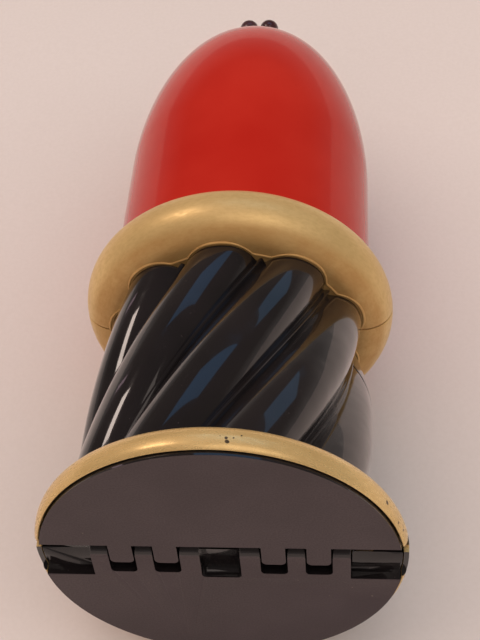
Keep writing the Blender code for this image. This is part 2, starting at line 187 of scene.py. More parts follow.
def ring_points(radius, height, planes, around, turned=0.0):
    """A ring round the axis, with its nearest points moved along it onto each plane across Y."""
    radius_at = radius if callable(radius) else lambda azimuth: radius
    angles = [2 * pi * i / around + turned for i in range(around)]
    for plane in planes:
        for turn in (False, True):
            angle = pi if turn else 0.0
            for _ in range(PLANE_ROUNDS):
                share = plane / radius_at(angle)
                if abs(share) >= 1:
                    break
                angle = pi - asin(share) if turn else asin(share)
            else:
                nearest = round((angle - turned) / (2 * pi) * around) % around
                angles[nearest] = angle
    return [(radius_at(a) * cos(a), radius_at(a) * sin(a), height) for a in angles]


def loft(bm, rows, cyclic):
    """Faces between neighbouring rings of points; a ring of one point is a pole."""
    rows = [[bm.verts.new(point) for point in row] for row in rows]
    pairs = list(zip(rows, rows[1:]))
    if cyclic:
        pairs.append((rows[-1], rows[0]))
    for first, second in pairs:
        count = max(len(first), len(second))
        for i in range(count):
            j = (i + 1) % count
            corners = [
                first[i % len(first)],
                second[i % len(second)],
                second[j % len(second)],
                first[j % len(first)],
            ]
            bm.faces.new(list(dict.fromkeys(corners)))
    bmesh.ops.recalc_face_normals(bm, faces=bm.faces)


def keep_half(bm, half, rounding=SEAM_ROUNDING):
    """Cuts the shape at the parting plane, closes it and rounds the new edges a little."""
    geom = list(bm.verts) + list(bm.edges) + list(bm.faces)
    bmesh.ops.bisect_plane(
        bm,
        geom=geom,
        dist=1e-7,
        plane_co=(0, SEAM_Y[half], 0),
        plane_no=(0, -SIDE[half], 0),
        clear_outer=True,
    )
    open_edges = [edge for edge in bm.edges if edge.is_boundary]
    filled = bmesh.ops.holes_fill(bm, edges=open_edges, sides=0)["faces"]
    bmesh.ops.recalc_face_normals(bm, faces=bm.faces)
    if rounding:
        edges = {edge for face in filled for edge in face.edges}
        bmesh.ops.bevel(
            bm, geom=list(edges), offset=rounding, segments=2, profile=0.5, affect="EDGES"
        )


def turned_half(half, rings, cyclic, planes=(), rounding=SEAM_ROUNDING, around=AROUND):
    """One half of a shape round the axis. rings holds (radius or radius function, height, turn)."""
    planes = (SEAM_Y[half], *planes)
    rows = [
        [(0, 0, height)] if radius == 0 else ring_points(radius, height, planes, around, *turned)
        for radius, height, *turned in rings
    ]
    bm = bmesh.new()
    loft(bm, rows, cyclic)
    keep_half(bm, half, rounding)
    return bm


def object_of(bm, name):
    mesh = bpy.data.meshes.new(name)
    bm.to_mesh(mesh)
    bm.free()
    obj = bpy.data.objects.new(name, mesh)
    bpy.context.scene.collection.objects.link(obj)
    obj.matrix_world = LYING
    return obj


def settle(obj):
    """Applies the object's modifiers."""
    bpy.context.view_layer.update()
    graph = bpy.context.evaluated_depsgraph_get()
    made = bpy.data.meshes.new_from_object(obj.evaluated_get(graph))
    old = obj.data
    obj.modifiers.clear()
    obj.data = made
    bpy.data.meshes.remove(old)
    made.name = obj.name


def combine(obj, tools, operation="DIFFERENCE"):
    for tool in tools:
        modifier = obj.modifiers.new("cut", "BOOLEAN")
        modifier.object = tool
        modifier.operation = operation
        modifier.solver = "EXACT"
    settle(obj)
    for tool in tools:
        bpy.data.objects.remove(tool)


def soften(obj, width, segments=2):
    """Rounds the object's sharp edges."""
    bevel = obj.modifiers.new("edges", "BEVEL")
    bevel.width = width
    bevel.segments = segments
    bevel.limit_method = "ANGLE"
    bevel.angle_limit = radians(35)
    settle(obj)


def smooth(obj, angle=40):
    """Shades the object smooth, except where its faces meet at more than angle degrees."""
    obj.data.shade_smooth()
    obj.data.set_sharp_from_angle(angle=radians(angle))
    weighted = obj.modifiers.new("normals", "WEIGHTED_NORMAL")
    weighted.keep_sharp = True
    weighted.weight = 60
    settle(obj)


def box_tool(low, high):
    bm = bmesh.new()
    bmesh.ops.create_cube(bm, size=1)
    low, high = Vector(low), Vector(high)
    bmesh.ops.scale(bm, vec=high - low, verts=bm.verts)
    bmesh.ops.translate(bm, vec=(low + high) / 2, verts=bm.verts)
    return object_of(bm, "tool")


def prism(outline, low, high):
    """A closed prism over a flat outline of (x, y) points."""
    bm = bmesh.new()
    bottom = [bm.verts.new((x, y, low)) for x, y in outline]
    top = [bm.verts.new((x, y, high)) for x, y in outline]
    bm.faces.new(bottom)
    bm.faces.new(top)
    for i in range(len(outline)):
        j = (i + 1) % len(outline)
        bm.faces.new((bottom[i], bottom[j], top[j], top[i]))
    bmesh.ops.recalc_face_normals(bm, faces=bm.faces)
    return bm


def rounded_box_outline(low, high, radius, steps=5):
    left, right = low[0] + radius, high[0] - radius
    near, far = low[1] + radius, high[1] - radius
    middles = ((right, near), (right, far), (left, far), (left, near))
    points = []
    for quarter, middle in enumerate(middles, start=-1):
        points += arc(middle, radius, quarter * pi / 2, (quarter + 1) * pi / 2, steps)
    return points


def place(obj, half, materials, node):
    """Gives a finished piece its materials and body, in place of its CAD node."""
    for material in materials:
        obj.data.materials.append(material)
    obj.data.transform(LYING)
    obj.matrix_world = Matrix.Identity(4)
    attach(obj, BODY[half])
    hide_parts(node)


# ---------------------------------------------------------------- shapes


def dome_curve(radius, start_z, tip_z, steps, end_radius=0.0):
    """The dome's outline, from its tip, or from end_radius near it, out to the full radius."""
    points = []
    for i in range(steps + 1):
        across = end_radius + (radius - end_radius) * sin(pi / 2 * i / steps)
        rise = max(0.0, 1 - (across / radius) ** DOME_ROUND_POWER) ** (1 / DOME_RISE_POWER)
        points.append((across, start_z + (tip_z - start_z) * rise))
    return points


def dome_rings():
    foot = COLLAR_Z + COLLAR_TOP + GAP
    inner_radius = DOME_RADIUS - DOME_WALL
    outside = dome_curve(DOME_RADIUS, DOME_CURVE_Z, DOME_TIP_Z, steps=72)
    outside += straight(outside[-1], (DOME_RADIUS, foot), steps=16)
    inside = dome_curve(inner_radius, DOME_CURVE_Z, DOME_CAVITY_TIP_Z, steps=32)
    inner_foot = (inner_radius, foot)
    return outside + [inner_foot] + straight(inner_foot, inside[-1], steps=6) + inside[-2::-1]


def collar_rings():
    top_angle = atan2(COLLAR_TOP, sqrt(COLLAR_TUBE**2 - COLLAR_TOP**2))
    middle = (COLLAR_RING_RADIUS, COLLAR_Z)
    upper = arc(middle, COLLAR_TUBE, top_angle, 0, steps=22)
    lower = arc(middle, COLLAR_TUBE, 0, -pi / 2, steps=26)
    foot = (BORE_RADIUS, COLLAR_Z - COLLAR_TUBE)
    head = (BORE_RADIUS, COLLAR_Z + COLLAR_TOP)
    return (
        upper
        + lower[1:]
        + straight(lower[-1], foot, steps=6)
        + straight(foot, head, steps=8)
        + straight(head, upper[0], steps=4)[:-1]
    )


def flute_radius(azimuth, along):
    """The fluted body's radius. along runs from 0 at its foot to 1 at its top."""
    pitch = 2 * pi / FLUTE_COUNT
    place_in_lobe = (azimuth - FLUTE_START - FLUTE_TWIST * along) / pitch % 1
    crown = BODY_FOOT_RADIUS + (BODY_TOP_RADIUS - BODY_FOOT_RADIUS) * along
    valley = abs(2 * place_in_lobe - 1)
    if valley < GROOVE_PLACE:
        return crown - GROOVE_DEPTH * (valley / GROOVE_PLACE) ** GROOVE_POWER
    rise = (valley - GROOVE_PLACE) / (1 - GROOVE_PLACE)
    return crown - GROOVE_DEPTH + VALLEY_BEAD * sin(pi / 2 * rise) ** BEAD_POWER


def body_rings():
    foot = RIM_HEIGHT + GAP
    top = COLLAR_Z - COLLAR_TUBE - GAP
    outside, bore = [], []
    for section in range(BODY_SECTIONS + 1):
        along = section / BODY_SECTIONS
        height, turned = foot + (top - foot) * along, FLUTE_TWIST * along
        outside.append((lambda azimuth, along=along: flute_radius(azimuth, along), height, turned))
        if section % SECTIONS_PER_BORE_RING == 0:
            bore.append((BORE_RADIUS, height, turned))
    return outside + bore[::-1]


def collar_lip(half):
    """A gold bead under the collar that follows the ends of the flutes, past their grooves."""
    least = BODY_TOP_RADIUS - GROOVE_DEPTH + VALLEY_BEAD
    middle_z = COLLAR_Z - COLLAR_TUBE + LIP_RISE
    rows = []
    for i in range(LIP_STEPS):
        turn = 2 * pi * i / LIP_STEPS

        def radius(azimuth):
            return max(flute_radius(azimuth, 1.0), least) + LIP_OFFSET + LIP_RADIUS * cos(turn)

        height = middle_z + LIP_RADIUS * sin(turn)
        rows.append(ring_points(radius, height, (SEAM_Y[half],), BODY_AROUND))
    bm = bmesh.new()
    loft(bm, rows, cyclic=True)
    keep_half(bm, half, rounding=0)
    return object_of(bm, "tool")


def rim_rings():
    middle = (RIM_RADIUS - RIM_SHOULDER, RIM_HEIGHT - RIM_SHOULDER)
    shoulder = arc(middle, RIM_SHOULDER, pi / 2, 0, steps=16)
    inner = PLATE_RADIUS + GAP
    flange = PLATE_THICKNESS + GAP
    foot = [
        (RIM_RADIUS - 0.1 * MM, RIM_FOOT_HEIGHT + 1.8 * MM),
        (RIM_RADIUS - 0.4 * MM, RIM_FOOT_HEIGHT + 0.8 * MM),
        (RIM_RADIUS - 0.9 * MM, RIM_FOOT_HEIGHT + 0.1 * MM),
        (inner + 0.25 * MM, RIM_FOOT_HEIGHT),
        (inner, RIM_FOOT_HEIGHT + 0.2 * MM),
    ]
    within = [(inner, flange), (BORE_RADIUS, flange), (BORE_RADIUS, RIM_HEIGHT)]
    return shoulder + foot + within + straight(within[-1], shoulder[0], steps=3)[:-1]


def lining_rings():
    floor = SPIGOT_HEIGHT + GAP
    step_z = COLLAR_Z + COLLAR_TOP + 3 * GAP
    outer = BORE_RADIUS - GAP
    wide = DOME_RADIUS - DOME_WALL - GAP
    tip = DOME_CAVITY_TIP_Z - GAP
    thin = LINING_THICKNESS

    def side(inset):
        curve = dome_curve(wide - inset, DOME_CURVE_Z, tip - inset, 28, LINING_END_RADIUS)
        lower = (wide - inset, step_z + 2 * thin)
        step = straight(curve[-1], lower, steps=10)
        step += straight(lower, (outer - inset, step_z), steps=3)
        down = straight(step[-1], (outer - inset, floor + inset), steps=16)
        return curve + step + down

    return [(0, floor + thin)] + side(thin)[::-1] + side(0) + [(0, floor)]


def plate(half):
    """The base plate: a half disc with its spigot, the hinge's rooms cut out and its fingers added."""
    side = SIDE[half]
    seam = SEAM_Y[half]

    def half_disc(radius, low, high):
        start = asin(seam / radius)
        end = pi - start
        if side < 0:
            start, end = end, 2 * pi + start
        outline = arc((0, 0), radius, start, end, PLATE_STEPS)
        return object_of(prism(outline, low, high), "tool")

    obj = half_disc(PLATE_RADIUS, 0, PLATE_THICKNESS)
    combine(obj, [half_disc(BORE_RADIUS - GAP, PLATE_THICKNESS - 2 * PAST, SPIGOT_HEIGHT)], "UNION")
    combine(obj, hinge_rooms(half))
    spans = [span for low, high in FINGERS[half] for span in ((low, high), (-high, -low))]
    combine(obj, [finger(half, low, high) for low, high in spans], "UNION")
    bores = []
    for way in (-1, 1):
        start, end = sorted((way * (PIN_ENDS[0] - GAP), way * (PIN_ENDS[1] + GAP)))
        bores.append(pin_bore(start, end))
    combine(obj, bores)
    obj.name = obj.data.name = f"{half}_base_plate_faced"
    return obj


def pin_bore(start, end, steps=24):
    """A round bar along the hinge's axis."""
    circle = arc((PARTING_Y, KNUCKLE_RADIUS), PIN_BORE_RADIUS, 0, 2 * pi, steps)[:-1]
    bm = bmesh.new()
    rows = [[bm.verts.new((x, y, z)) for y, z in circle] for x in (start, end)]
    for i in range(steps):
        j = (i + 1) % steps
        bm.faces.new((rows[0][i], rows[0][j], rows[1][j], rows[1][i]))
    for row in rows:
        bm.faces.new(row)
    bmesh.ops.recalc_face_normals(bm, faces=bm.faces)
    return object_of(bm, "tool")


def notch(low, high, bottom, radius, top=HINGE_ROOM):
    """A slot across the seam, back to bottom, with rounded corners. It is cut from the base up to top."""
    outline = rounded_box_outline((low, PARTING_Y - 3 * PAST), (high, bottom), radius)
    return object_of(prism(outline, -PAST, top), "tool")


def room(ends, near, far, low, high):
    """A box across X between two ends, which may come in either order."""
    left, right = sorted(ends)
    return box_tool((left, near, low), (right, far, high))


def hinge_rooms(half):
    """What the plate and rim of a half give up to the other half's fingers and to its turning."""
    centre, wide = CENTRE_NOTCH_HALF_WIDTH, HINGE_HALF_WIDTH
    if half == "front":
        near, far = PARTING_Y - FRONT_SETBACK, PARTING_Y + PAST
        rooms = [room((-FAR, FAR), near, far, -PAST, FRONT_REBATE_HEIGHT)]
        for way in (-1, 1):
            rooms.append(room((way * (centre - GAP), way * wide), near, far, -PAST, HINGE_ROOM))
        return rooms
    near, far = PARTING_Y - PAST, PARTING_Y + REBATE_DEPTH
    bottom = PARTING_Y + NOTCH_DEPTH
    centre_bottom = PARTING_Y + CENTRE_NOTCH_DEPTH
    rooms = [notch(-centre, centre, centre_bottom, CENTRE_NOTCH_CORNER, BACK_REBATE_HEIGHT)]
    edges = [x for span in FINGERS["back"] for x in span]
    for way in (-1, 1):
        for low, high in ((edges[1], edges[2]), (edges[3], edges[4])):
            ends = sorted((way * low, way * high))
            rooms.append(notch(*ends, bottom, NOTCH_CORNER))
        rooms.append(room((way * edges[-1], way * FAR), near, far, -PAST, BACK_REBATE_HEIGHT))
        rooms.append(room((way * edges[-1], way * wide), near, bottom, 0, HINGE_ROOM))
    return rooms


def finger(half, low, high):
    """A hinge finger with a nose that turns round the pin and corners rounded in plan."""
    away = -SIDE[half]
    radius = NOSE_RADIUS[half]
    flat = asin(KNUCKLE_RADIUS / radius)
    corner = FINGER_CORNER[half]
    root = PARTING_Y - away * FINGER_ROOT
    quarter = [pi / 2 * i / CORNER_STEPS for i in range(CORNER_STEPS + 1)]
    insets = [(corner * (1 - cos(a)), away * corner * (1 - sin(a))) for a in quarter]
    rows = []
    for i in range(NOSE_STEPS + 1):
        turn = -flat + 2 * flat * i / NOSE_STEPS
        tip = PARTING_Y + away * radius * cos(turn)
        z = KNUCKLE_RADIUS + radius * sin(turn)
        row = [(low, root, z)]
        row += [(low + across, tip - along, z) for across, along in insets]
        row += [(high - across, tip - along, z) for across, along in reversed(insets)]
        row.append((high, root, z))
        rows.append(row)
    bm = bmesh.new()
    loft(bm, rows, cyclic=False)
    open_edges = [edge for edge in bm.edges if edge.is_boundary]
    bmesh.ops.holes_fill(bm, edges=open_edges, sides=0)
    bmesh.ops.recalc_face_normals(bm, faces=bm.faces)
    return object_of(bm, "tool")


def rim(half):
    side = SIDE[half]
    flange = PARTING_Y + side * (FINGER_ROOT + GAP)
    if half == "front":
        planes = (PARTING_Y - FRONT_SETBACK, flange)
    else:
        planes = (PARTING_Y + NOTCH_DEPTH, PARTING_Y + REBATE_DEPTH, flange)
    obj = object_of(turned_half(half, rim_rings(), True, planes, rounding=0), f"{half}_rim_gilded")
    near, far = sorted((PARTING_Y, flange))
    sides = (-HINGE_HALF_WIDTH, HINGE_HALF_WIDTH)
    flange_room = room(sides, near - PAST, far, PLATE_THICKNESS, HINGE_ROOM)
    combine(obj, hinge_rooms(half) + [flange_room])
    return obj


def dome(half, ball_x):
    """A dome with a seat for the clasp's tab inside its tip and a slot for the stem through it."""
    obj = object_of(turned_half(half, dome_rings(), False, rounding=0), f"{half}_dome_lacquered")
    side = SIDE[half]
    reach = STEM_FOOT_RADIUS + 1.3 * GAP
    open_end = PARTING_Y - side * (PAST + reach)
    near, far = sorted((open_end, PARTING_Y + side * (STEM_SETBACK + reach)))
    outline = rounded_box_outline((ball_x - reach, near), (ball_x + reach, far), reach * 0.98, 8)
    slot = object_of(prism(outline, CLASP_SEAT_Z - PAST, DOME_TIP_Z + PAST), "tool")
    wide = SEAT_HALF_WIDTH
    seat_low = (-wide, PARTING_Y - wide, CLASP_SEAT_Z - SEAT_DEPTH)
    seat = box_tool(seat_low, (wide, PARTING_Y + wide, CLASP_SEAT_Z))
    combine(obj, [slot, seat])
    return obj


def tube(points, radii, steps=20):
    """A round bar through points that lie in one plane across X."""
    across = Vector((1, 0, 0))
    turns = [2 * pi * i / steps for i in range(steps)]
    rows = [[points[0]]]
    for i, (point, radius) in enumerate(zip(points, radii)):
        before, after = Vector(points[max(i - 1, 0)]), Vector(points[min(i + 1, len(points) - 1)])
        up = (after - before).cross(across).normalized()
        rows.append([Vector(point) + radius * (cos(t) * across + sin(t) * up) for t in turns])
    rows.append([points[-1]])
    bm = bmesh.new()
    loft(bm, rows, cyclic=False)
    return bm


def lathe(centre, profile, steps=40):
    """A full turn of (radius, height) points round a vertical line through centre."""
    x, y, z = centre
    rows = []
    for radius, height in profile:
        turns = [2 * pi * i / steps for i in range(steps if radius else 1)]
        rows.append([(x + radius * cos(t), y + radius * sin(t), z + height) for t in turns])
    bm = bmesh.new()
    loft(bm, rows, cyclic=False)
    return bm


def clasp_stem(half, ball_x):
    """The clasp's tab inside the tip, with the stem that bends over to the seam."""
    side = SIDE[half]
    top = CLASP_SEAT_Z - GAP
    near = SEAM_Y[half]
    low_y, high_y = sorted((near, near + side * TAB_SIZE.y))
    left, right = CLASP_MIDDLE_X - TAB_SIZE.x / 2, CLASP_MIDDLE_X + TAB_SIZE.x / 2
    outline = rounded_box_outline((left, low_y), (right, high_y), TAB_CORNER, 6)
    stem = object_of(prism(outline, top - TAB_SIZE.z, top), f"{half}_clasp_stem_polished")
    straight_y = PARTING_Y + side * STEM_SETBACK
    foot = top - TAB_SIZE.z / 2
    bend, end = DOME_TIP_Z + BEND_RISE, BALL_Z - BALL_RADIUS * 0.35
    points, radii = [(ball_x, straight_y, foot)], [STEM_FOOT_RADIUS]
    for i in range(STEM_STEPS + 1):
        share = i / STEM_STEPS
        ease = (1 - cos(pi * share)) / 2
        y = straight_y + (PARTING_Y - straight_y) * ease
        points.append((ball_x, y, bend + (end - bend) * share))
        radii.append(STEM_FOOT_RADIUS + (STEM_END_RADIUS - STEM_FOOT_RADIUS) * share)
    combine(stem, [object_of(tube(points, radii), "tool")], "UNION")
    hole, low = SCREW_HOLE_RADIUS, -SCREW_HOLE_DEPTH
    profile = [(0, PAST), (hole, PAST), (hole, low), (0, low)]
    holes = []
    for way in (-1, 1):
        centre = (CLASP_MIDDLE_X + way * SCREW_OFFSET, PARTING_Y + side * SCREW_SETBACK, top)
        holes.append(object_of(lathe(centre, profile), "tool"))
    combine(stem, holes)
    return stem


def clasp_ball(half, ball_x):
    """A bead with a small collar where it is fixed on its stem."""
    radius = BALL_RADIUS
    socket = STEM_END_RADIUS + 2 * GAP
    inside = [(0, -radius * 0.1), (socket, -radius * 0.1)]
    foot = [(socket, -radius * 0.97), (socket + 0.5 * MM, -radius * 0.99)]
    foot.append((socket + 0.62 * MM, -radius * 0.9))
    sphere = arc((0, 0), radius, asin(-0.83), pi / 2, steps=22)[:-1] + [(0, radius)]
    profile = inside + foot + sphere
    centre = (ball_x, PARTING_Y, BALL_Z)
    return object_of(lathe(centre, profile[::-1], 48), f"{half}_clasp_bead")


def clasp_screw(half, way, word):
    """A slotted screw whose domed head holds the tab from inside."""
    top = CLASP_SEAT_Z - GAP - TAB_SIZE.z - GAP
    centre = (CLASP_MIDDLE_X + way * SCREW_OFFSET, PARTING_Y + SIDE[half] * SCREW_SETBACK, top)
    head, shank = SCREW_HEAD_RADIUS, SCREW_SHANK_RADIUS
    profile = [(0, 5.6 * MM), (shank * 0.4, 5.5 * MM), (shank, 4.6 * MM), (shank, 0), (head, 0)]
    profile += [(head, -0.45 * MM), (head * 0.86, -0.8 * MM), (head * 0.5, -0.95 * MM), (0, -MM)]
    screw = object_of(lathe(centre, profile, 32), f"{half}_clasp_screw_{word}_slotted")
    slot_low = (-2 * head, -SCREW_SLOT_HALF_WIDTH, -2 * MM)
    slot_high = (2 * head, SCREW_SLOT_HALF_WIDTH, -0.5 * MM)
    combine(screw, [box_tool(Vector(centre) + Vector(slot_low), Vector(centre) + Vector(slot_high))])
    return screw


# ---------------------------------------------------------------- materials


class Finish:
    """A material whose nodes read the piece's own place in the standing frame."""

    def __init__(self, name, **shader):
        self.material = bpy.data.materials.new(name)
        self.material.use_nodes = True
        self.tree = self.material.node_tree
        self.shader = self.tree.nodes["Principled BSDF"]
        for key, value in shader.items():
            self.shader.inputs[key.replace("_", " ")].default_value = value
        upright = LYING.inverted()
        inputs = {
            "Vector": self.add("ShaderNodeTexCoord").outputs["Object"],
            "Location": upright.translation,
            "Rotation": upright.to_euler(),
        }
        self.place = self.add("ShaderNodeMapping", inputs).outputs[0]

    def add(self, kind, inputs=None, **settings):
        node = self.tree.nodes.new(kind)
        for key, value in settings.items():
            setattr(node, key, value)
        for key, value in (inputs or {}).items():
            if isinstance(value, bpy.types.NodeSocket):
                self.tree.links.new(value, node.inputs[key])
            else:
                node.inputs[key].default_value = value
        return node

    def math(self, operation, *values):
        inputs = dict(enumerate(values))
        return self.add("ShaderNodeMath", inputs, operation=operation).outputs[0]

    def noise(self, scale, detail=2.0, roughness=0.5, vector=None):
        inputs = {
            "Vector": vector or self.place,
            "Scale": scale,
            "Detail": detail,
            "Roughness": roughness,
        }
        return self.add("ShaderNodeTexNoise", inputs).outputs["Fac"]

    def span(self, value, low, high, to_low=0.0, to_high=1.0):
        """value mapped smoothly from one range to another, held at its ends."""
        inputs = {"Value": value, "From Min": low, "From Max": high, "To Min": to_low, "To Max": to_high}
        node = self.add("ShaderNodeMapRange", inputs, interpolation_type="SMOOTHSTEP")
        return node.outputs["Result"]

    def mix(self, share, first, second):
        """A colour between two, each given as (red, green, blue) or as a socket."""
        colours = [
            colour if isinstance(colour, bpy.types.NodeSocket) else (*colour, 1)
            for colour in (first, second)
        ]
        inputs = {0: share, 6: colours[0], 7: colours[1]}
        return self.add("ShaderNodeMix", data_type="RGBA", inputs=inputs).outputs[2]

    def cylinder(self):
        """(radius, azimuth, height) of a place."""
        x, y, height = self.add("ShaderNodeSeparateXYZ", {0: self.place}).outputs
        squares = [self.math("MULTIPLY", value, value) for value in (x, y)]
        radius = self.math("SQRT", self.math("ADD", *squares))
        return radius, self.math("ARCTAN2", y, x), height

    def round_coordinates(self, across, around, along):
        """A vector for patterns that run round the axis."""
        radius, azimuth, height = self.cylinder()
        inputs = {
            0: self.math("MULTIPLY", radius, across),
            1: self.math("MULTIPLY", azimuth, around),
            2: self.math("MULTIPLY", height, along),
        }
        return self.add("ShaderNodeCombineXYZ", inputs).outputs[0]

    def chips(self, marks):
        """A mask of small ragged chips. marks holds (x, y, z, size) in millimetres."""
        ragged = self.math("SUBTRACT", self.noise(700, 3.0), 0.5)
        mask = 0.0
        for x, y, z, size in marks:
            inputs = {0: self.place, 1: (x * MM, y * MM, z * MM)}
            away = self.add("ShaderNodeVectorMath", inputs, operation="DISTANCE").outputs["Value"]
            away = self.math("ADD", away, self.math("MULTIPLY", ragged, 1.6 * size * MM))
            mask = self.math("MAXIMUM", mask, self.span(away, size * MM, 0.75 * size * MM))
        return mask

    def colour(self, socket):
        self.tree.links.new(socket, self.shader.inputs["Base Color"])

    def roughness(self, socket):
        self.tree.links.new(socket, self.shader.inputs["Roughness"])

    def bump(self, *layers):
        """Raises the surface by layers of (value, height in millimetres)."""
        normal = {}
        for value, height in layers:
            inputs = {"Height": value, "Distance": height * MM, "Strength": 1.0, **normal}
            normal = {"Normal": self.add("ShaderNodeBump", inputs).outputs[0]}
        self.tree.links.new(normal["Normal"], self.shader.inputs["Normal"])


def red_lacquer():
    f = Finish("red_lacquer", Coat_Weight=1.0, Coat_Roughness=0.07, Coat_IOR=1.24, Specular_IOR_Level=0.0)
    broad = f.noise(22, 3.0)
    fine = f.noise(900, 2.0)
    tone = f.mix(f.span(broad, 0.3, 0.7), (0.455, 0.0165, 0.009), (0.52, 0.027, 0.015))
    f.colour(f.mix(f.span(fine, 0.62, 0.8, 0, 0.25), tone, (0.40, 0.012, 0.008)))
    f.roughness(f.span(broad, 0.3, 0.7, 0.24, 0.34))
    f.bump((f.noise(55, 2.0), 0.16), (fine, 0.004))
    return f.material


GILDING_CHIPS = (  # places of wear on the rim: (x, y, z, size) in millimetres
    (4.9, -48.2, 3.0, 0.6),
    (4.7, -48.2, 3.9, 0.5),
    (6.4, -48.0, 4.1, 0.35),
    (8.2, -47.7, 4.9, 0.3),
    (3.2, -48.2, 4.4, 0.3),
    (42.4, -23.6, 3.4, 0.75),
    (46.3, -12.8, 2.6, 0.6),
    (45.4, -16.5, 2.2, 0.35),
)


def gold_leaf():
    f = Finish("gold_leaf", Metallic=0.42, Specular_IOR_Level=0.5)
    radius, _, height = f.cylinder()
    broad = f.noise(35, 4.0, 0.6)
    streaks = f.noise(1.0, 3.0, 0.6, f.round_coordinates(1400, 22, 1400))
    flakes = f.noise(2600, 1.0)
    tone = f.mix(f.span(broad, 0.3, 0.7), (0.70, 0.475, 0.190), (0.80, 0.560, 0.235))
    tone = f.mix(f.span(streaks, 0.35, 0.75, 0, 0.35), tone, (0.56, 0.355, 0.115))
    tone = f.mix(f.span(flakes, 0.6, 0.8, 0, 0.2), tone, (0.82, 0.63, 0.33))
    # Painted shade: the gold turns brown in the creases where the collar and the rim meet the fluted body. The
    # same mask also makes those creases rougher.
    under_collar = f.span(height, 84.5 * MM, 80.0 * MM)
    collar_painted_shade = f.math("MULTIPLY", f.span(radius, 39.2 * MM, 37.0 * MM), under_collar)
    over_rim = f.span(height, 8.5 * MM, 9.6 * MM)
    rim_painted_shade = f.math("MULTIPLY", f.span(radius, 44.8 * MM, 42.0 * MM), over_rim)
    painted_crease_shade = f.math("MAXIMUM", collar_painted_shade, rim_painted_shade)
    painted_crease_shade = f.math("MULTIPLY", painted_crease_shade, f.span(f.noise(160, 4.0, 0.65), 0.3, 0.62, 0.7, 1.0))
    tone = f.mix(f.math("MULTIPLY", painted_crease_shade, 0.65), tone, (0.52, 0.26, 0.07))
    f.colour(f.mix(f.chips(GILDING_CHIPS), tone, (0.10, 0.065, 0.035)))
    rim_sheen = f.span(height, 12 * MM, 30 * MM, 0.74, 1.0)
    grain = f.math("MULTIPLY", f.span(streaks, 0.3, 0.7, 0.34, 0.44), rim_sheen)
    f.roughness(f.math("ADD", grain, f.math("MULTIPLY", painted_crease_shade, 0.15)))
    f.bump((broad, 0.2), (streaks, 0.01), (flakes, 0.0015))
    return f.material


def black_lacquer():
    f = Finish("black_lacquer", Coat_Weight=1.0, Coat_Roughness=0.04, Specular_IOR_Level=0.1)
    broad = f.noise(30, 2.0)
    dust = f.noise(1500, 1.0)
    tone = f.mix(f.span(broad, 0.3, 0.7), (0.009, 0.0075, 0.0075), (0.014, 0.011, 0.011))
    f.colour(f.mix(f.span(dust, 0.74, 0.84, 0, 0.5), tone, (0.09, 0.07, 0.07)))
    f.roughness(f.span(broad, 0.3, 0.7, 0.12, 0.2))
    f.bump((f.noise(62, 2.0), 0.75), (f.noise(210, 1.0), 0.06), (dust, 0.002))
    return f.material


def matte_base():
    f = Finish("matte_base", Specular_IOR_Level=0.35)
    broad = f.noise(40, 3.0)
    grain = f.noise(2200, 2.0)
    specks = f.noise(420, 1.0)
    tone = f.mix(f.span(broad, 0.3, 0.7), (0.064, 0.046, 0.047), (0.078, 0.057, 0.058))
    tone = f.mix(f.span(grain, 0.35, 0.7, 0, 0.4), tone, (0.055, 0.040, 0.041))
    f.colour(f.mix(f.span(specks, 0.79, 0.82, 0, 0.6), tone, (0.24, 0.19, 0.15)))
    f.roughness(f.span(grain, 0.3, 0.7, 0.5, 0.66))
    f.bump((broad, 0.1), (grain, 0.02))
    return f.material


def dark_bead():
    f = Finish("dark_bead", Coat_Weight=0.6, Coat_Roughness=0.08)
    broad = f.noise(300, 3.0)
    f.colour(f.mix(f.span(broad, 0.3, 0.7), (0.040, 0.010, 0.012), (0.060, 0.018, 0.020)))
    f.roughness(f.span(broad, 0.3, 0.7, 0.25, 0.4))
    f.bump((broad, 0.06))
    return f.material


def metal(name, low, high, roughness):
    f = Finish(name, Metallic=1.0)
    broad = f.noise(180, 3.0)
    scratches = f.noise(3000, 2.0)
    f.colour(f.mix(f.span(broad, 0.3, 0.7), low, high))
    f.roughness(f.span(scratches, 0.3, 0.7, roughness, roughness + 0.15))
    f.bump((scratches, 0.004))
    return f.material


def lining_satin():
    f = Finish("lining_satin", Sheen_Weight=0.35, Sheen_Roughness=0.4)
    threads = f.noise(1.0, 1.0, 0.5, f.round_coordinates(600, 90, 5200))
    weft = f.noise(1.0, 1.0, 0.5, f.round_coordinates(600, 260, 700))
    broad = f.noise(28, 3.0)
    tone = f.mix(f.span(broad, 0.3, 0.7), (0.36, 0.25, 0.16), (0.46, 0.33, 0.22))
    f.colour(f.mix(f.span(threads, 0.3, 0.7, 0, 0.35), tone, (0.26, 0.17, 0.10)))
    f.roughness(f.span(weft, 0.3, 0.7, 0.42, 0.6))
    f.bump((broad, 0.4), (threads, 0.03), (weft, 0.02))
    return f.material


RED = red_lacquer()
GOLD = gold_leaf()
BLACK = black_lacquer()
MATTE = matte_base()
BEAD = dark_bead()
BRASS = metal("stem_brass", (0.50, 0.34, 0.13), (0.62, 0.44, 0.20), 0.2)
STEEL = metal("pin_steel", (0.48, 0.48, 0.50), (0.62, 0.62, 0.63), 0.22)
SATIN = lining_satin()


# ---------------------------------------------------------------- the pieces


def in_rebate(face):
    """Whether a face of the rim belongs to the step that is cut into it for the hinge."""
    slack = 0.1 * MM
    x, y, z = face.center
    steep = abs(Vector((x, y, 0)).normalized().dot(face.normal)) < 0.5
    low, high = PARTING_Y - FRONT_SETBACK - slack, PARTING_Y + REBATE_DEPTH + slack
    return steep and low < y < high and z < FRONT_REBATE_HEIGHT + slack


def on_base(face):
    """Whether a face of the base plate is part of the flat that the case stands on."""
    return abs(face.center.z) < 0.01 * MM and abs(face.normal.z) > 0.99


BLACK_PIECES = bpy.data.collections.new("black_pieces")  # the only pieces that show far_window

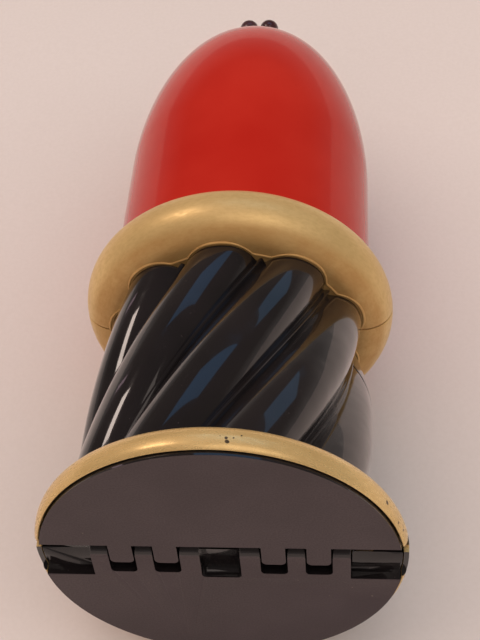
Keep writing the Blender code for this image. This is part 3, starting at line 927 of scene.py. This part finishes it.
for half, side in SIDE.items():
    ball_x = CLASP_MIDDLE_X - side * BALL_OFFSET

    shell = dome(half, ball_x)
    soften(shell, SEAM_ROUNDING)
    smooth(shell)
    place(shell, half, [RED], f"{half}_dome")

    collar = object_of(turned_half(half, collar_rings(), True), f"{half}_collar_gilded")
    combine(collar, [collar_lip(half)], "UNION")
    smooth(collar)
    place(collar, half, [GOLD], f"{half}_collar")

    fluted = turned_half(half, body_rings(), True, around=BODY_AROUND)
    fluted = object_of(fluted, f"{half}_fluted_body_lacquered")
    smooth(fluted, 50)
    place(fluted, half, [BLACK], f"{half}_fluted_body")
    BLACK_PIECES.objects.link(fluted)

    ring = rim(half)
    soften(ring, 0.2 * MM)
    smooth(ring)
    for face in ring.data.polygons:
        face.material_index = int(in_rebate(face))
    place(ring, half, [GOLD, BLACK], f"{half}_rim")

    base = plate(half)
    soften(base, 0.45 * MM, 3)
    smooth(base)
    for face in base.data.polygons:
        face.material_index = int(on_base(face))
    place(base, half, [BLACK, MATTE], f"{half}_base_plate")

    lining = turned_half(half, lining_rings(), False, rounding=0.2 * MM)
    lining = object_of(lining, f"{half}_lining_satin")
    smooth(lining)
    place(lining, half, [SATIN], f"{half}_lining")

    stem = clasp_stem(half, ball_x)
    soften(stem, 0.2 * MM)
    smooth(stem)
    place(stem, half, [BRASS], f"{half}_clasp_stem")

    bead = clasp_ball(half, ball_x)
    smooth(bead)
    place(bead, half, [BEAD], f"{half}_clasp_ball")

    for word, way in (("left", -1), ("right", 1)):
        screw = clasp_screw(half, way, word)
        soften(screw, 0.06 * MM)
        smooth(screw)
        place(screw, half, [STEEL], f"{half}_clasp_screw_{word}")

for word in ("left", "right"):
    pin = frame["nodes"][f"hinge_pin_{word}"]
    pin.data.materials.clear()
    pin.data.materials.append(STEEL)


# ---------------------------------------------------------------- stage, light and camera


CASE_MIDDLE = Vector((0, 0, 50)) * MM
CAMERA_PLACE = Vector((33.450, -286.211, 343.093)) * MM
CAMERA_TURN = (40.72923, 3.66984, 3.17562)  # degrees about X, Y and Z
FLOOR_HALF_SIZE = 24.0
FLOOR_STEPS = 48
FLOOR_DROP = 0.05 * MM


def floor():
    bm = bmesh.new()
    bmesh.ops.create_grid(bm, x_segments=FLOOR_STEPS, y_segments=FLOOR_STEPS, size=FLOOR_HALF_SIZE)
    obj = object_of(bm, "floor")
    obj.matrix_world = Matrix.Translation((0, 0, -FLOOR_DROP))
    f = Finish("pale_floor", Specular_IOR_Level=0.2)
    broad = f.noise(3.0, 3.0)
    grain = f.noise(700, 2.0)
    tone = f.mix(f.span(broad, 0.3, 0.7), (0.70, 0.63, 0.585), (0.735, 0.665, 0.62))
    f.colour(f.mix(f.span(grain, 0.3, 0.7, 0, 0.15), tone, (0.62, 0.55, 0.50)))
    f.roughness(f.span(grain, 0.3, 0.7, 0.6, 0.75))
    f.bump((grain, 0.03))
    obj.data.materials.append(f.material)


def direction(azimuth, elevation):
    """The way to a place in the sky, in degrees: azimuth 0 is +Y and 90 is +X."""
    a, e = radians(azimuth), radians(elevation)
    return Vector((sin(a) * cos(e), cos(a) * cos(e), sin(e)))


def area_light(name, azimuth, elevation, distance, size, radiance):
    """A panel that shows only in the gloss, in the given direction from the case."""
    light = bpy.data.lights.new(name, "AREA")
    light.shape = "RECTANGLE"
    light.size, light.size_y = size
    strongest = max(radiance)
    light.energy = strongest * pi * size[0] * size[1]
    light.color = [value / strongest for value in radiance]
    obj = bpy.data.objects.new(name, light)
    way = direction(azimuth, elevation)
    obj.location = CASE_MIDDLE + way * distance
    obj.rotation_euler = way.to_track_quat("Z", "Y").to_euler()
    obj.visible_diffuse = False
    bpy.context.scene.collection.objects.link(obj)
    return obj


def soft_sun(name, azimuth, elevation, spread, strength):
    """Even light over the whole stage from a broad part of the sky, with no shape in the gloss."""
    light = bpy.data.lights.new(name, "SUN")
    light.angle = radians(spread)
    light.energy = max(strength)
    light.color = [value / light.energy for value in strength]
    obj = bpy.data.objects.new(name, light)
    obj.rotation_euler = direction(azimuth, elevation).to_track_quat("Z", "Y").to_euler()
    obj.visible_glossy = False
    bpy.context.scene.collection.objects.link(obj)


def studio_world():
    """Pale at the horizon and dim overhead."""
    world = bpy.data.worlds.new("studio")
    bpy.context.scene.world = world
    world.use_nodes = True
    tree = world.node_tree
    background = tree.nodes["Background"]
    sky = tree.nodes.new("ShaderNodeTexCoord")
    parts = tree.nodes.new("ShaderNodeSeparateXYZ")
    ramp = tree.nodes.new("ShaderNodeValToRGB")
    tree.links.new(sky.outputs["Generated"], parts.inputs[0])
    tree.links.new(parts.outputs["Z"], ramp.inputs[0])
    horizon, overhead = ramp.color_ramp.elements
    horizon.color = (0.37, 0.325, 0.305, 1)
    overhead.color = (0.12, 0.10, 0.10, 1)
    ramp.color_ramp.elements.new(0.28).color = (0.13, 0.11, 0.10, 1)
    tree.links.new(ramp.outputs["Color"], background.inputs["Color"])


floor()
studio_world()
soft_sun("left_daylight", -62, 58, 70, (1.66, 1.34, 1.20))
soft_sun("front_fill", 168, 42, 100, (0.92, 0.82, 0.80))
soft_sun("right_fill", 80, 62, 80, (0.95, 0.99, 1.04))
area_light("lamp", -74, 54.6, 1.4, (0.27, 0.27), (11.5, 9.5, 8.4))
area_light("overhead", 150, 62, 1.3, (0.9, 0.8), (1.15, 1.0, 0.9))
area_light("left_strip", -57, 18, 1.3, (0.04, 0.34), (1.5, 1.02, 1.2))
area_light("window", 14, 60, 1.3, (0.95, 0.42), (0.11, 0.38, 0.74))
far_window = area_light("far_window", 35, 30, 1.3, (0.50, 0.38), (0.13, 0.32, 0.55))
far_window.light_linking.receiver_collection = BLACK_PIECES

camera = bpy.data.cameras.new("camera")
camera.lens = 73.12
camera.sensor_width = 36
camera.clip_start = 10 * MM
camera_object = bpy.data.objects.new("camera", camera)
camera_object.location = CAMERA_PLACE
camera_object.rotation_euler = [radians(angle) for angle in CAMERA_TURN]
bpy.context.scene.collection.objects.link(camera_object)
bpy.context.scene.camera = camera_object
bpy.context.scene.view_settings.view_transform = "Standard"
